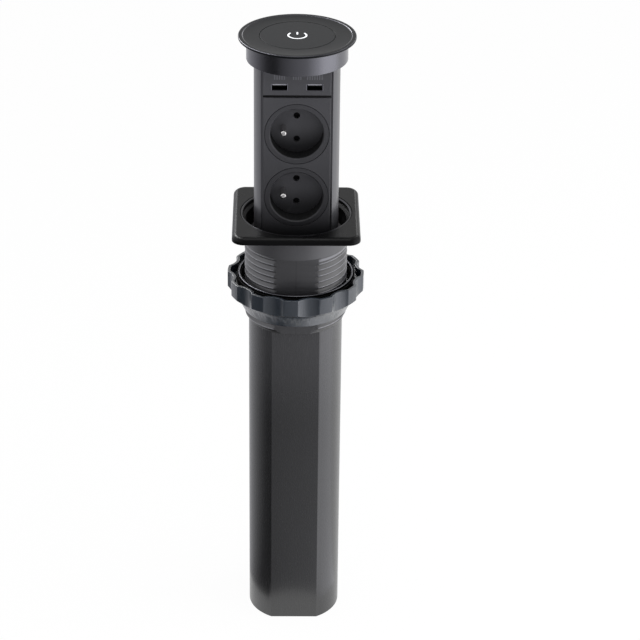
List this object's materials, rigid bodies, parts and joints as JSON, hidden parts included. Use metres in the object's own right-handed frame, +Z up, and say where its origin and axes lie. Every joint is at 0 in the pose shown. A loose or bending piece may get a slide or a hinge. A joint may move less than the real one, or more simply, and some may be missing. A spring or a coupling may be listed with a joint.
{
  "type": "pop up desk socket",
  "caption": "Motor lifted round socket tower in a worktop collar, raised: flat round cap with a lit button, USB ports and mains sockets, clamped by a threaded sleeve and a lobed ring nut.",
  "frame": {"origin": "centre of the collar's underside, the ring that lies on the worktop, on the axis of the round sleeve and tower", "axes": "+Z up along the axis the tower rises on, and the longest extent; the front with the sockets faces -Y; +X is to the right seen from the front"},
  "size_m": [0.106, 0.106, 0.497],
  "materials": {
    "collar_plastic": "soft matt moulded surface",
    "sleeve_plastic": "satin moulded surface",
    "tube_plastic": "smooth satin extruded surface",
    "ring_metal": "fine turned",
    "tower_metal": "satin silver anodised",
    "cap_metal": "satin dark grey anodised",
    "fascia_plastic": "fine textured",
    "insert_plastic": "fine textured",
    "button_plastic": "satin",
    "light_guide": "translucent white",
    "pin_metal": "nickel plated",
    "bar_metal": "bare",
    "shell_metal": "nickel plated",
    "tongue_plastic": "plain",
    "inner_plastic": "plain moulded",
    "slide_plastic": "plain slippery moulded",
    "nut_metal": "turned bronze",
    "screw_steel": "zinc plated",
    "drive_steel": "bright ground",
    "board_laminate": "printed circuit board",
    "module_plastic": "moulded case",
    "terminal_plastic": "moulded case",
    "seal_rubber": "soft"
  },
  "bodies": {
    "housing": {"collar_plate": "collar_plastic", "well_ring": "ring_metal", "collar_screws": "screw_steel", "threaded_sleeve": "sleeve_plastic", "sleeve_screws": "screw_steel", "lower_tube": "tube_plastic", "bottom_cap": "tube_plastic", "cable_grommet": "seal_rubber", "housing_screws": "screw_steel", "guide_ring": "inner_plastic", "wiper_seal": "seal_rubber", "upper_limit_switch": "module_plastic", "lower_limit_switch": "module_plastic", "bearing_block": "inner_plastic", "screw_bearing": "drive_steel", "motor_bracket": "inner_plastic", "gearbox": "drive_steel", "gearbox_screws": "screw_steel", "motor": "drive_steel", "control_board": "board_laminate", "power_module": "module_plastic", "terminal_block": "terminal_plastic"},
    "tower": {"tower_profile": "tower_metal", "tower_base": "inner_plastic", "guide_shoe": "slide_plastic", "base_screws": "screw_steel", "lift_nut": "nut_metal", "lift_nut_screws": "screw_steel", "screw_shroud": "inner_plastic", "socket_fascia": "fascia_plastic", "usb_fascia": "fascia_plastic", "socket_insert_upper": "insert_plastic", "socket_insert_lower": "insert_plastic", "earth_pin_upper": "pin_metal", "earth_pin_lower": "pin_metal", "contacts_upper": "pin_metal", "contacts_lower": "pin_metal", "bus_bars": "bar_metal", "usb_port_left": "shell_metal", "usb_port_right": "shell_metal", "usb_tongue_left": "tongue_plastic", "usb_tongue_right": "tongue_plastic", "usb_board": "board_laminate", "usb_converter": "module_plastic", "cap_base": "cap_metal", "cap_screws": "screw_steel", "cap_disc": "cap_metal", "return_ring": "seal_rubber", "button_board": "board_laminate", "tact_switch": "module_plastic"},
    "button": {"power_button": "button_plastic", "power_symbol": "light_guide"},
    "shutter_upper": {"shutter_upper": "slide_plastic"},
    "shutter_lower": {"shutter_lower": "slide_plastic"},
    "lead_screw": {"lead_screw": "drive_steel", "screw_coupler": "drive_steel", "gearbox_shaft": "drive_steel"},
    "slip_ring": {"slip_ring": "ring_metal"},
    "ring_nut": {"ring_nut": "sleeve_plastic"}
  },
  "joints": [
    {"name": "tower_slide", "type": "slide", "parent": "housing", "child": "tower", "axis": [0, 0, 1], "range_m": [-0.1426, 0]},
    {"name": "screw_turn", "type": "hinge", "parent": "housing", "child": "lead_screw", "pos_m": [0, 0.0175, -0.2], "axis": [0, 0, 1], "range_deg": [0, 6420]},
    {"name": "button_press", "type": "slide", "parent": "tower", "child": "button", "axis": [0, 0, 1], "range_m": [-0.0008, 0], "stiffness_N_per_m": 1500, "springref_m": 0.0008, "deforming": ["return_ring"]},
    {"name": "shutter_upper_slide", "type": "slide", "parent": "tower", "child": "shutter_upper", "axis": [1, 0, 0], "range_m": [0, 0.0064], "stiffness_N_per_m": 100, "springref_m": -0.004},
    {"name": "shutter_lower_slide", "type": "slide", "parent": "tower", "child": "shutter_lower", "axis": [1, 0, 0], "range_m": [0, 0.0064], "stiffness_N_per_m": 100, "springref_m": -0.004},
    {"name": "nut_travel", "type": "slide", "parent": "housing", "child": "slip_ring", "axis": [0, 0, 1], "range_m": [-0.00401, 0.03901]},
    {"name": "nut_turn", "type": "hinge", "parent": "slip_ring", "child": "ring_nut", "pos_m": [0, 0, -0.05], "axis": [0, 0, 1], "range_deg": [-288, 2808]}
  ],
  "couplings": [
    {"joint": "screw_turn", "follows": "tower_slide", "rad_per_m": -785.4},
    {"joint": "nut_travel", "follows": "nut_turn", "m_per_rad": 0.00079577}
  ]
}
